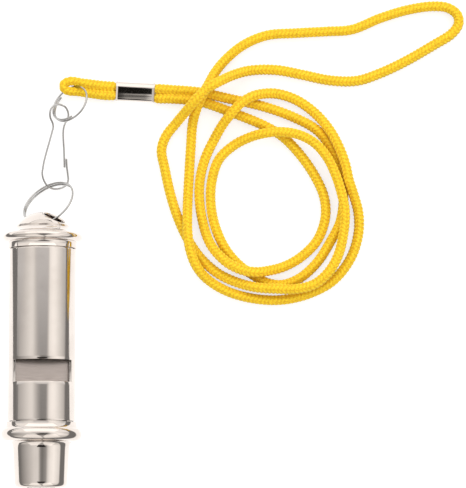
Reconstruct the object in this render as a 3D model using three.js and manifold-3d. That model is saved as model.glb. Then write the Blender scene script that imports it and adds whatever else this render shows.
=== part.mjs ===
// Tubular bird whistle with a pierced dome cap, two split rings, a spring wire clip and a cord lanyard.
// It lies on its side: +Y runs from mouthpiece to cap, +Z is up and z = 0 is the surface. Millimetres.
import * as THREE from "three";
import { mergeVertices } from "three/addons/utils/BufferGeometryUtils.js";
import Module from "manifold-3d";

// Whistle body
const wholeLength = 82;
const barrelRadius = 10;
const barrelWall = 0.6;
const beadRadius = 12;
const seatGap = 0.3;
const spigotLength = 4.5;
const spigotWall = 0.8;
const roundSides = 36;
const arcSteps = 4;
const drillSides = 24;
const weldTolerance = 1e-4;

// Mouthpiece
const mouthpieceLength = 19.3;
const tipRadius = 7.9;
const tipRound = 2;
const tipFlat = 0.3;
const tipFlare = 0.45;
const tipLength = 11.2;
const mouthWall = 1;
const mouthBoreRadius = 6;
const mouthBeadPlace = 15.7;
const mouthBeadHalf = 2.1;
const beadDepth = 2.1;
const beadTurnOff = THREE.MathUtils.degToRad(60);
const collarFlare = 0.4;
const collarSweep = 1.2;

// Domed cap with two holes for the ring
const capHeight = 11.1;
const capBeadPlace = 3.3;
const capBeadHalf = 1.5;
const domeInset = 0.7;
const domeWall = 0.8;
const domeBasePlace = 6.1;
const domeWaist = 9;
const domeSweep = 0.9;
const capBeadTurnOn = THREE.MathUtils.degToRad(-69);
const ringHoleRadius = 3.3;
const ringHoleLean = THREE.MathUtils.degToRad(30);
const capRoll = THREE.MathUtils.degToRad(33);

// Sound windows and what stands inside the barrel
const windowStart = 31;
const windowLength = 6.5;
const windowDepth = 4.9;
const windowRoll = THREE.MathUtils.degToRad(6.5);
const septumThickness = 0.8;
const septumSideGap = 0.35;
const windwayHeight = 1.4;
const endDiscThickness = 0.8;

// Split ring that passes through the cap's two holes
const ringWireRadius = 0.3;
const ringPitch = 1.02;
const ringStepsPerTurn = 28;
const capRingRadius = 8.25;
const capRingHeight = 6.95;
const capRingTurns = 1.65;
const capRingStart = THREE.MathUtils.degToRad(55);
const capRingReach = 6.45;
const capRingDrop = 1;
const capRingShift = -1.6;
const capRingDepth = 1.85;
const clipPlaceOnRing = THREE.MathUtils.degToRad(94.5);

// Spring clip, bent from one wire: heights rise to the left leg and to the eye
const clipWireRadius = 0.35;
const hookSteps = 72;
const gateSteps = 36;
const clipLow = 0.45;
const clipLowEdge = new THREE.Vector2(3.2, 1.1);
const clipSideRise = 0.33;
const clipEyeRise = 0.065;

// Split ring between the clip and the cord
const lanyardRingRadius = 6.05;
const lanyardRingCentre = new THREE.Vector3(3.9, 24.1, 5);
const lanyardRingHeading = THREE.MathUtils.degToRad(51);
const lanyardRingTilt = THREE.MathUtils.degToRad(45);
const lanyardRingTurns = 1.43;
const lanyardRingStart = THREE.MathUtils.degToRad(118);
const lanyardRingEase = 0.03;

// Crimped ferrule and cord
const ferruleLength = 12;
const ferruleWidth = 5.9;
const ferruleHeight = 3.4;
const ferruleWall = 0.4;
const ferruleEndSteps = 8;
const ferruleCentre = new THREE.Vector2(23.5, 28.2);
const ferruleTurn = THREE.MathUtils.degToRad(-3);
const cordRadius = 1.35;
const pressedCordRadius = 1;
const cordLift = 0.05;
const cordSides = 8;
const bightSteps = 64;
const loopSteps = 320;
const loopArcDivisions = 1200;
const wireSides = 6;
const gapSamples = 900;
const gapDiametersApart = 4;

const nickel = new THREE.MeshStandardMaterial({ color: 0xd3d1cc, roughness: 0.16, metalness: 1 });
const dullNickel = new THREE.MeshStandardMaterial({ color: 0xa9a7a2, roughness: 0.42, metalness: 1 });
const steelWire = new THREE.MeshStandardMaterial({ color: 0xc4c4c2, roughness: 0.22, metalness: 1 });
const yellowCord = new THREE.MeshStandardMaterial({ color: 0xf5c21a, roughness: 0.85, metalness: 0 });

const wasm = await Module();
wasm.setup();

const barrelBore = barrelRadius - barrelWall;
const spigotRadius = barrelBore - seatGap;
const spigotBore = spigotRadius - spigotWall;
const barrelStart = mouthpieceLength + seatGap;
const capStart = wholeLength - capHeight;
const barrelEnd = capStart - seatGap;
const domeRadius = barrelRadius - domeInset;
const domeCentre = wholeLength - domeRadius;
const collarRadius = barrelRadius + collarFlare;

// A flat of the round pieces faces down, so that both beads lie on the surface.
const facetTurn = Math.PI / roundSides;
const axisHeight = beadRadius * Math.cos(facetTurn);

// Welds a geometry's shared vertices and turns it into a solid that can be cut.
function solidOf(geometry) {
  const bare = geometry.clone();
  bare.deleteAttribute("normal");
  bare.deleteAttribute("uv");
  const welded = mergeVertices(bare, weldTolerance);
  const corners = welded.index.array;
  const triangles = [];
  for (let i = 0; i < corners.length; i += 3) {
    const [a, b, c] = corners.slice(i, i + 3);
    if (a !== b && b !== c && c !== a) {
      triangles.push(a, b, c);
    }
  }
  const triVerts = new Uint32Array(triangles);
  const vertProperties = new Float32Array(welded.attributes.position.array);
  return new wasm.Manifold(new wasm.Mesh({ numProp: 3, vertProperties, triVerts }));
}

function geometryOf(solid) {
  const mesh = solid.getMesh();
  const geometry = new THREE.BufferGeometry();
  geometry.setAttribute("position", new THREE.BufferAttribute(mesh.vertProperties, 3));
  geometry.setIndex(new THREE.BufferAttribute(mesh.triVerts, 1));
  geometry.computeVertexNormals();
  return geometry;
}

function named(name, geometry, material) {
  const mesh = new THREE.Mesh(geometry, material);
  mesh.name = name;
  return mesh;
}

function turned(outline) {
  return new THREE.LatheGeometry(outline.getPoints(arcSteps), roundSides, facetTurn);
}

// A round wire or cord along a curve, with closed ends.
function tubeAlong(curve, radius, sides, steps) {
  const section = new THREE.Shape();
  section.absarc(0, 0, radius, 0, 2 * Math.PI);
  const options = { steps, curveSegments: sides / 2, bevelEnabled: false, extrudePath: curve };
  return new THREE.ExtrudeGeometry(section, options);
}

function curveThrough(points) {
  return new THREE.CatmullRomCurve3(points, false, "centripetal");
}

// Least gap of a wound tube to itself, between points further apart along it than a few diameters.
function leastGap(name, curve, radius) {
  const points = curve.getSpacedPoints(gapSamples);
  const apart = Math.ceil((gapDiametersApart * 2 * radius * gapSamples) / curve.getLength());
  let least = Infinity;
  for (let i = 0; i < points.length; i += 1) {
    for (let j = i + apart; j < points.length; j += 1) {
      least = Math.min(least, points[i].distanceTo(points[j]));
    }
  }
  console.log(`${name}: length ${curve.getLength().toFixed(1)}, gap ${(least - 2 * radius).toFixed(2)} mm`);
}

function boxBetween(low, high) {
  const size = new THREE.Vector3().subVectors(high, low);
  const middle = new THREE.Vector3().addVectors(low, high).multiplyScalar(0.5);
  return new THREE.BoxGeometry(size.x, size.y, size.z).translate(middle.x, middle.y, middle.z);
}

// Barrel: a thin tube with one sound window in front and one behind.
function barrelTube() {
  const wall = new THREE.Path();
  wall.moveTo(barrelBore, barrelStart);
  wall.lineTo(barrelRadius, barrelStart);
  wall.lineTo(barrelRadius, barrelEnd);
  wall.lineTo(barrelBore, barrelEnd);
  wall.lineTo(barrelBore, barrelStart);
  let tube = solidOf(turned(wall));
  const floor = barrelRadius - windowDepth;
  for (const side of [1, -1]) {
    const near = side * floor;
    const far = side * 2 * barrelRadius;
    const low = new THREE.Vector3(-2 * barrelRadius, windowStart, Math.min(near, far));
    const high = new THREE.Vector3(2 * barrelRadius, windowStart + windowLength, Math.max(near, far));
    tube = tube.subtract(solidOf(boxBetween(low, high)));
  }
  return named("barrel_tube", geometryOf(tube), nickel);
}

// Mouthpiece: a spun shell with a rounded tip, a bead and a spigot that enters the barrel.
function mouthpiece() {
  const beadRoot = beadRadius - beadDepth;
  const beadBottom = mouthBeadPlace - mouthBeadHalf;
  const neckRadius = tipRadius + tipFlare;
  const outline = new THREE.Path();
  outline.moveTo(mouthBoreRadius, 0);
  outline.lineTo(mouthBoreRadius + tipFlat, 0);
  outline.quadraticCurveTo(tipRadius, 0, tipRadius, tipRound);
  outline.lineTo(neckRadius, tipLength);
  outline.quadraticCurveTo(neckRadius, beadBottom, beadRoot, beadBottom);
  outline.absellipse(beadRoot, mouthBeadPlace, beadDepth, mouthBeadHalf, -Math.PI / 2, beadTurnOff, false);
  outline.quadraticCurveTo(collarRadius, mouthpieceLength - collarSweep, collarRadius, mouthpieceLength);
  outline.lineTo(spigotRadius, mouthpieceLength);
  outline.lineTo(spigotRadius, mouthpieceLength + spigotLength);
  outline.lineTo(spigotBore, mouthpieceLength + spigotLength);
  outline.lineTo(spigotBore, mouthBeadPlace);
  outline.quadraticCurveTo(neckRadius - mouthWall, beadBottom, neckRadius - mouthWall, tipLength);
  outline.lineTo(tipRadius - mouthWall, tipRound);
  outline.quadraticCurveTo(tipRadius - mouthWall, tipRound / 3, mouthBoreRadius, 0);
  return named("mouthpiece", turned(outline), nickel);
}

// Directions of the rolled cap: along its two holes, and square to them and to the barrel.
const holeLine = new THREE.Vector3(Math.cos(capRoll), 0, Math.sin(capRoll));
const holeSquare = new THREE.Vector3(-Math.sin(capRoll), 0, Math.cos(capRoll));
const alongBarrel = new THREE.Vector3(0, 1, 0);

// Cap: skirt, bead and hollow dome in one shell, pierced so that a bridge stays between the holes.
function endCap() {
  const beadRoot = beadRadius - beadDepth;
  const beadMiddle = capStart + capBeadPlace;
  const innerDome = domeRadius - domeWall;
  const innerEnd = Math.acos(spigotBore / innerDome);
  const domeFoot = capStart + domeBasePlace;
  const outerStart = Math.asin((domeFoot - domeCentre) / domeRadius);
  const beadFoot = beadMiddle + capBeadHalf * Math.sin(capBeadTurnOn);
  const beadFootRadius = beadRoot + beadDepth * Math.cos(capBeadTurnOn);
  const outline = new THREE.Path();
  outline.moveTo(0, domeCentre + innerDome);
  outline.absarc(0, domeCentre, innerDome, Math.PI / 2, innerEnd, true);
  outline.lineTo(spigotBore, capStart - spigotLength);
  outline.lineTo(spigotRadius, capStart - spigotLength);
  outline.lineTo(spigotRadius, capStart);
  outline.lineTo(collarRadius, capStart);
  outline.quadraticCurveTo(beadRoot, beadFoot, beadFootRadius, beadFoot);
  outline.absellipse(beadRoot, beadMiddle, beadDepth, capBeadHalf, capBeadTurnOn, beadTurnOff, false);
  outline.quadraticCurveTo(domeWaist, domeFoot - domeSweep, domeRadius * Math.cos(outerStart), domeFoot);
  outline.absarc(0, domeCentre, domeRadius, outerStart, Math.PI / 2, false);
  let shell = solidOf(turned(outline));
  for (const side of [1, -1]) {
    const aim = alongBarrel.clone().multiplyScalar(Math.cos(ringHoleLean));
    aim.addScaledVector(holeLine, side * Math.sin(ringHoleLean));
    const drill = new THREE.CylinderGeometry(ringHoleRadius, ringHoleRadius, domeRadius, drillSides);
    drill.applyQuaternion(new THREE.Quaternion().setFromUnitVectors(alongBarrel, aim));
    drill.translate(aim.x * domeRadius, domeCentre + aim.y * domeRadius, aim.z * domeRadius);
    shell = shell.subtract(solidOf(drill));
  }
  return named("end_cap", geometryOf(shell), nickel);
}

// Septum: a flat plate along the axis that parts the front chamber from the rear one.
const chamberStart = mouthpieceLength + spigotLength + seatGap;
const chamberEnd = capStart - spigotLength - seatGap - endDiscThickness;
function septumPlate() {
  const half = barrelBore - septumSideGap;
  const low = new THREE.Vector3(-half, chamberStart, -septumThickness / 2);
  const high = new THREE.Vector3(half, chamberEnd - seatGap, septumThickness / 2);
  return named("septum_plate", boxBetween(low, high), dullNickel);
}

// Fipple plugs: half-round blocks that leave a flat windway under the barrel wall.
function fipplePlug(name, side) {
  const length = windowStart - seatGap - chamberStart;
  const block = new THREE.CylinderGeometry(
    spigotRadius, spigotRadius, length, roundSides, 1, false, facetTurn);
  block.translate(0, chamberStart + length / 2, 0);
  const near = side * (septumThickness / 2 + seatGap);
  const far = side * (barrelBore - windwayHeight);
  const low = new THREE.Vector3(-barrelRadius, 0, Math.min(near, far));
  const high = new THREE.Vector3(barrelRadius, wholeLength, Math.max(near, far));
  const plug = solidOf(block).intersect(solidOf(boxBetween(low, high)));
  return named(name, geometryOf(plug), dullNickel);
}

// End disc: closes both chambers under the pierced dome.
function chamberEndDisc() {
  const disc = new THREE.CylinderGeometry(
    spigotRadius, spigotRadius, endDiscThickness, roundSides, 1, false, facetTurn);
  disc.translate(0, chamberEnd + endDiscThickness / 2, 0);
  return named("chamber_end_disc", disc, dullNickel);
}

// Flat turns of wire side by side, with one joggle where the wire steps across.
class SplitRingCurve extends THREE.Curve {
  constructor(radius, start, turns, joggleFrom, joggleTo) {
    super();
    Object.assign(this, { radius, start, turns, joggleFrom, joggleTo });
  }

  getPoint(t) {
    const angle = this.start + t * this.turns * 2 * Math.PI;
    const across = THREE.MathUtils.smoothstep(t * this.turns, this.joggleFrom, this.joggleTo);
    return new THREE.Vector3(
      this.radius * Math.cos(angle), this.radius * Math.sin(angle), (across - 1 / 2) * ringPitch);
  }
}

function splitRing(name, curve) {
  const steps = Math.round(curve.turns * ringStepsPerTurn);
  leastGap(name, curve, ringWireRadius);
  return named(name, tubeAlong(curve, ringWireRadius, wireSides, steps), steelWire);
}

// Ring through the cap: it swings about the line of the two holes until it leans on the surface.
const ringPivot = new THREE.Vector3(0, wholeLength - capRingDepth, axisHeight);
ringPivot.addScaledVector(holeSquare, -capRingDrop);
ringPivot.addScaledVector(holeLine, capRingShift);
const ringSwing = Math.asin((ringPivot.z - capRingHeight) / (capRingReach * holeSquare.z));
const ringOutward = alongBarrel.clone().multiplyScalar(Math.cos(ringSwing));
ringOutward.addScaledVector(holeSquare, -Math.sin(ringSwing));
const ringMiddle = ringPivot.clone().addScaledVector(ringOutward, capRingReach);
function capSplitRing() {
  const normal = new THREE.Vector3().crossVectors(holeLine, ringOutward);
  const overlap = capRingTurns - 1;
  const curve = new SplitRingCurve(capRingRadius, capRingStart, capRingTurns, overlap, 1);
  const ring = splitRing("cap_split_ring", curve);
  ring.quaternion.setFromRotationMatrix(new THREE.Matrix4().makeBasis(holeLine, ringOutward, normal));
  ring.position.copy(ringMiddle);
  return ring;
}

// The place on the cap ring where the clip hangs. Clip, small ring, ferrule and cord are laid out from it.
const clipHang = ringMiddle.clone();
clipHang.addScaledVector(holeLine, capRingRadius * Math.cos(clipPlaceOnRing));
clipHang.addScaledVector(ringOutward, capRingRadius * Math.sin(clipPlaceOnRing));

// Points of the clip as seen from above, lifted onto the tilted plane that the clip lies in.
function clipPoint([x, y]) {
  const rise = clipSideRise * (clipLowEdge.x - x) + clipEyeRise * (y - clipLowEdge.y);
  return new THREE.Vector3(x, y, clipLow + rise);
}

// Hook side of the clip: catch, round bend under the cap ring, long leg and most of the eye.
function clipHook() {
  const bends = [
    [2.79, 7.89], [2.88, 5.5], [3.1, 3.26], [3.19, 1.54], [2.81, 0.13], [1.42, -0.96], [-0.36, -1.5],
    [-2.02, -1.18], [-3.38, -0.15], [-4.22, 1.51], [-4.49, 3.07], [-4.34, 4.8], [-3.85, 7.12],
    [-2.56, 12.06], [-1.6, 15.87], [-1.31, 17.31], [-1.52, 18.51], [-2.06, 19.81], [-2.33, 21.32],
    [-2.03, 22.67], [-1.09, 23.78], [0.27, 24.16], [1.58, 23.92],
  ];
  const curve = curveThrough(bends.map(clipPoint));
  return named("clip_hook", tubeAlong(curve, clipWireRadius, wireSides, hookSteps), steelWire);
}

// Gate side of the clip: the rest of the eye and the springy arm that snaps behind the catch.
function clipGate() {
  const bends = [
    [2.27, 23.47], [2.92, 22.51], [3.25, 21.28], [3.05, 20.14], [2.4, 18.86], [1.9, 17.65], [1.66, 16.3],
    [1.67, 13.78], [1.86, 10.76], [1.9, 8.03], [1.87, 6.36], [1.93, 5.06],
  ];
  const curve = curveThrough(bends.map(clipPoint));
  return named("clip_gate", tubeAlong(curve, clipWireRadius, wireSides, gateSteps), steelWire);
}

// Ring between clip and cord: it leans with its left side low, under the eye and the cord's bight.
function lanyardSplitRing() {
  const level = new THREE.Vector3(Math.cos(lanyardRingHeading), Math.sin(lanyardRingHeading), 0);
  const rising = new THREE.Vector3(level.y, -level.x, Math.tan(lanyardRingTilt)).normalize();
  const normal = new THREE.Vector3().crossVectors(level, rising);
  const joggleFrom = lanyardRingTurns - 1 + lanyardRingEase;
  const curve = new SplitRingCurve(
    lanyardRingRadius, lanyardRingStart, lanyardRingTurns, joggleFrom, 1 - lanyardRingEase);
  const ring = splitRing("lanyard_split_ring", curve);
  ring.quaternion.setFromRotationMatrix(new THREE.Matrix4().makeBasis(level, rising, normal));
  ring.position.copy(lanyardRingCentre);
  return ring;
}

function roundEnded(shape, width, height) {
  const radius = height / 2;
  const reach = width / 2 - radius;
  shape.absarc(reach, 0, radius, -Math.PI / 2, Math.PI / 2);
  shape.absarc(-reach, 0, radius, Math.PI / 2, (3 * Math.PI) / 2);
  return shape;
}

// Ferrule: a flattened sleeve that grips both strands of the cord.
function crimpFerrule() {
  const sleeve = roundEnded(new THREE.Shape(), ferruleWidth, ferruleHeight);
  const bore = roundEnded(new THREE.Path(), ferruleWidth - 2 * ferruleWall, ferruleHeight - 2 * ferruleWall);
  sleeve.holes.push(bore);
  const options = { depth: ferruleLength, curveSegments: ferruleEndSteps, bevelEnabled: false };
  const geometry = new THREE.ExtrudeGeometry(sleeve, options).translate(0, 0, -ferruleLength / 2);
  const ferrule = named("crimp_ferrule", geometry, nickel);
  const along = new THREE.Vector3(Math.cos(ferruleTurn), Math.sin(ferruleTurn), 0);
  const across = new THREE.Vector3(-along.y, along.x, 0);
  const up = new THREE.Vector3(0, 0, 1);
  ferrule.quaternion.setFromRotationMatrix(new THREE.Matrix4().makeBasis(across, up, along));
  ferrule.position.set(ferruleCentre.x, ferruleCentre.y, ferruleHeight / 2);
  return ferrule;
}

// Short bight of cord: out of the ferrule, round the small ring and back, pressed thin by the crimp.
// Each point is x, y and height of the middle of the cord.
const bightRoute = [
  [29.61, 29.1, 1.7], [23.53, 29.43, 1.7], [17.45, 29.77, 1.7], [14.26, 30.06, 1.8], [10.33, 30.55, 2.2],
  [7.32, 30.95, 2.75], [5.51, 31.32, 3.05], [4.01, 31.37, 3.3], [2.8, 31.14, 3.4], [1.99, 30.46, 3.45],
  [1.79, 29.68, 3.5], [2.03, 28.87, 3.4], [2.87, 28.26, 3.2], [4.01, 28.06, 2.9], [5.5, 28.04, 2.5],
  [7.6, 27.89, 2.1], [10.32, 27.61, 1.75], [13.97, 27.34, 1.7], [17.46, 27.19, 1.7], [23.54, 26.88, 1.7],
  [29.62, 26.57, 1.7],
];
function lanyardBight() {
  const curve = curveThrough(bightRoute.map((place) => new THREE.Vector3(...place)));
  leastGap("lanyard_bight", curve, pressedCordRadius);
  return named("lanyard_bight", tubeAlong(curve, pressedCordRadius, cordSides, bightSteps), yellowCord);
}

// Neck loop: two strands from the ferrule wind loosely twice round and meet in the far bight.
// Each point is x and y, and where the cord rides over another strand, its lift off the surface.
const loopRoute = [
  [30.3, 26.1, 0.3], [34.6, 25.9], [43.1, 24.9], [52.9, 21.6], [62.6, 17.9], [68.1, 14.6], [73.1, 9.5],
  [77.7, 2.9], [80.7, -3.9], [81.1, -10], [78.7, -17], [73.7, -22.2], [68.6, -25.1, 0.2],
  [64, -26.5, 1.6], [60.4, -27.1, 3.1], [56.4, -26.6, 3.3], [52.3, -24.8, 3.3], [49, -22, 2.7],
  [46.2, -18.1, 1.3], [44.3, -12.7], [43.1, -5.8], [43.1, 0.7], [44.6, 7.4], [47.4, 13.5, 0.1],
  [50.1, 18, 1.8], [52.6, 21, 3.3], [55.4, 24.1, 3.4], [58.6, 26.2, 3], [62, 27.4, 1.4], [66.3, 27.7],
  [72.3, 25.8], [77.8, 21.9, 0.3], [82.3, 16.4, 1.9], [85.3, 10.6, 2.9], [87.1, 5.5, 3],
  [88.1, 0.9, 2.8], [89.6, -3.5, 1.4], [91, -8.4], [91.1, -14.6], [88.8, -22.3], [83.4, -29.3],
  [76.1, -33.3], [67.7, -35.2], [58.9, -34.7], [50.8, -32.3], [45, -28.6, 0.6], [42, -24.9, 2.5],
  [40.3, -20.4, 3.3], [39.5, -15.2, 3.3], [39.4, -10.2, 2.1], [39.5, -4.9, 0.1], [39.9, 3.2],
  [40.4, 11.7], [40.9, 18.4, 0.2], [42, 22.3, 2.5], [43.1, 24.9, 3.4], [44.5, 27.7, 3.4],
  [46, 30.7, 2.5], [47.9, 34.4, 0.7], [51.1, 38.4], [56.5, 42.8], [63.5, 45.7], [72.3, 46.4],
  [81.5, 46.9], [89.4, 47.5], [98, 51], [106.5, 53.6], [114.2, 54.7], [118.7, 54.2], [121.5, 52.1],
  [121.9, 49.3], [119.9, 46.3], [114.1, 42.6], [105.5, 37.6], [97.9, 34], [90.9, 31.7], [82.7, 31.8],
  [74.4, 33.5], [66.3, 35], [58.3, 34.8, 0.1], [53.5, 33.2, 2], [50.3, 31.3, 4.7], [47.6, 29.6, 6.4],
  [44.9, 27.9, 6.6], [42.5, 25.4, 6.6], [40.2, 22.9, 5.4], [38.1, 20.8, 2.9], [35.6, 18.2, 0.5],
  [32.8, 14.6], [31.5, 10.4], [32.5, 4.7], [34.2, -3], [36.4, -10], [39.4, -16.6], [43.5, -22.6],
  [48.7, -27.2], [55, -30.2, 1], [60.4, -31.7, 3.1], [66.1, -32.1, 3.3], [72, -32.2, 3.3],
  [77.5, -30.8, 3.3], [81.8, -27.2, 3.3], [84.8, -22, 3.1], [86.4, -15.5, 3.1], [86.9, -8.8, 3.3],
  [85.8, -2.9, 3.3], [84, 2.7, 3.3], [81.6, 7.7, 3.2], [77.8, 12.1, 3.2], [72.8, 14.7, 3.3],
  [67.1, 15.5, 3.3], [62.2, 15, 3.1], [58, 14, 1.5], [53.5, 11.9], [48.9, 7.5], [46.7, 0.7],
  [46.5, -6.7], [48, -13.6], [51.1, -20.1], [55.3, -24.9], [60.4, -28.4], [63.7, -30.1], [68, -30.6],
  [73.3, -28.6], [78.5, -23.9], [82.5, -17.7], [85.6, -11.4], [86.6, -4.2], [85.7, 2.9], [83.3, 10.1],
  [79, 16.2], [71.3, 20.6], [62, 23.9], [52.3, 26], [43.1, 28.3], [34.9, 29.3], [30.2, 29.5, 0.3],
];

// The cord sinks no lower than the surface that it lies on.
class LaidCurve extends THREE.Curve {
  constructor(places) {
    super();
    this.lowest = cordRadius + cordLift;
    this.line = curveThrough(places.map(([x, y, lift = 0]) => new THREE.Vector3(x, y, this.lowest + lift)));
  }

  getPoint(t) {
    const point = this.line.getPoint(t);
    point.z = Math.max(point.z, this.lowest);
    return point;
  }
}

function lanyardLoop() {
  const curve = new LaidCurve(loopRoute);
  curve.arcLengthDivisions = loopArcDivisions;
  leastGap("lanyard_loop", curve, cordRadius);
  return named("lanyard_loop", tubeAlong(curve, cordRadius, cordSides, loopSteps), yellowCord);
}

// The barrel is pressed on with its window rolled a little to one side, and its insides with it.
const rolled = new THREE.Group();
rolled.add(barrelTube(), septumPlate());
rolled.add(fipplePlug("front_fipple_plug", 1), fipplePlug("rear_fipple_plug", -1));
rolled.rotation.y = windowRoll;

const whistle = new THREE.Group();
whistle.add(rolled, mouthpiece(), endCap(), chamberEndDisc());
whistle.position.z = axisHeight;

const clip = new THREE.Group();
clip.add(clipHook(), clipGate(), lanyardSplitRing());
clip.position.set(clipHang.x, clipHang.y, 0);

const lanyard = new THREE.Group();
lanyard.add(crimpFerrule(), lanyardBight(), lanyardLoop());
lanyard.position.copy(clip.position);

// The origin is on the surface, under the middle of the whistle with its rings and clip.
const model = new THREE.Group();
model.name = "bird_whistle";
model.add(whistle, capSplitRing(), clip);
model.updateMatrixWorld(true);
const middle = new THREE.Box3().setFromObject(model, true).getCenter(new THREE.Vector3());
model.add(lanyard);
model.position.set(-middle.x, -middle.y, 0);
console.log(`origin at ${middle.x.toFixed(3)}, ${middle.y.toFixed(3)} from the mouthpiece's end`);
console.log(`clip hangs at ${clipHang.toArray().map((value) => value.toFixed(3)).join(", ")}`);

export default model;
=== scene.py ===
"""Tubular bird whistle with split rings, a spring clip and a braided neck cord, in metres."""

import math

import bmesh
import bpy
import numpy as np
from mathutils import Matrix, Vector


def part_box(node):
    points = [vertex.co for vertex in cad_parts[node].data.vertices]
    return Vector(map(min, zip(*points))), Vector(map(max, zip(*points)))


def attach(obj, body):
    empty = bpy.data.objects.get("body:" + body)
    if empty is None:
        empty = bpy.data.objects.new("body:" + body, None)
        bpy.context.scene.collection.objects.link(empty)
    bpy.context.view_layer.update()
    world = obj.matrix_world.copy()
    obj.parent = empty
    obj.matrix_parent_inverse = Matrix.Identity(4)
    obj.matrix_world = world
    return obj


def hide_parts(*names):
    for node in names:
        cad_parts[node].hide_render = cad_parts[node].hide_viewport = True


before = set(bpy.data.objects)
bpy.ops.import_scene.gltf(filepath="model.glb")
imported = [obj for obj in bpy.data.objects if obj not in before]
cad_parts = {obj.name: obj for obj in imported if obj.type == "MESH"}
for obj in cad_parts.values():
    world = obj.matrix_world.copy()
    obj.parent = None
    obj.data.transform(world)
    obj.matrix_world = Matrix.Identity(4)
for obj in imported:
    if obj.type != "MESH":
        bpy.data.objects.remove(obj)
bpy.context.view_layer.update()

# Camera. A long lens looks almost straight down from the mouthpiece's side,
# so that the barrel stands upright in the picture and the cord lies to its right.
view_elevation = math.radians(83.6)
view_distance = 0.8
view_height = 0.14693
view_aim = Vector((0.05622, 0.01241, 0.004))


def linked(name, data):
    """Puts a new piece into the scene."""
    made = bpy.data.objects.new(name, data)
    bpy.context.scene.collection.objects.link(made)
    return made


camera_data = bpy.data.cameras.new("camera")
camera_data.sensor_fit = "VERTICAL"
camera_data.sensor_height = 24
camera_data.lens = camera_data.sensor_height * view_distance / view_height
camera = linked("camera", camera_data)
towards_camera = Vector((0, -math.cos(view_elevation), math.sin(view_elevation)))
camera.location = view_aim + view_distance * towards_camera
camera.rotation_euler = (math.pi / 2 - view_elevation, 0, 0)
bpy.context.scene.camera = camera

# Cord. One length of round braided polyester, doubled: it leaves the crimped ferrule as a neck loop,
# comes back through it, takes a short bight round the small ring and ends butted inside the ferrule.
# The routes are the part's own, laid out from the place where the clip hangs on its ring.
braid_radius = 0.00163
cord_lift = 0.00005
braid_relief = 0.00028
braid_slant = 0.9
seam_level = 0.15
stitch_length = 0.00118
braid_columns = 6
points_per_column = 3
points_per_stitch = 7
ferrule_half_length = 0.006
ferrule_place = Vector((0.0235, 0.0282, 0.0017))
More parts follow.
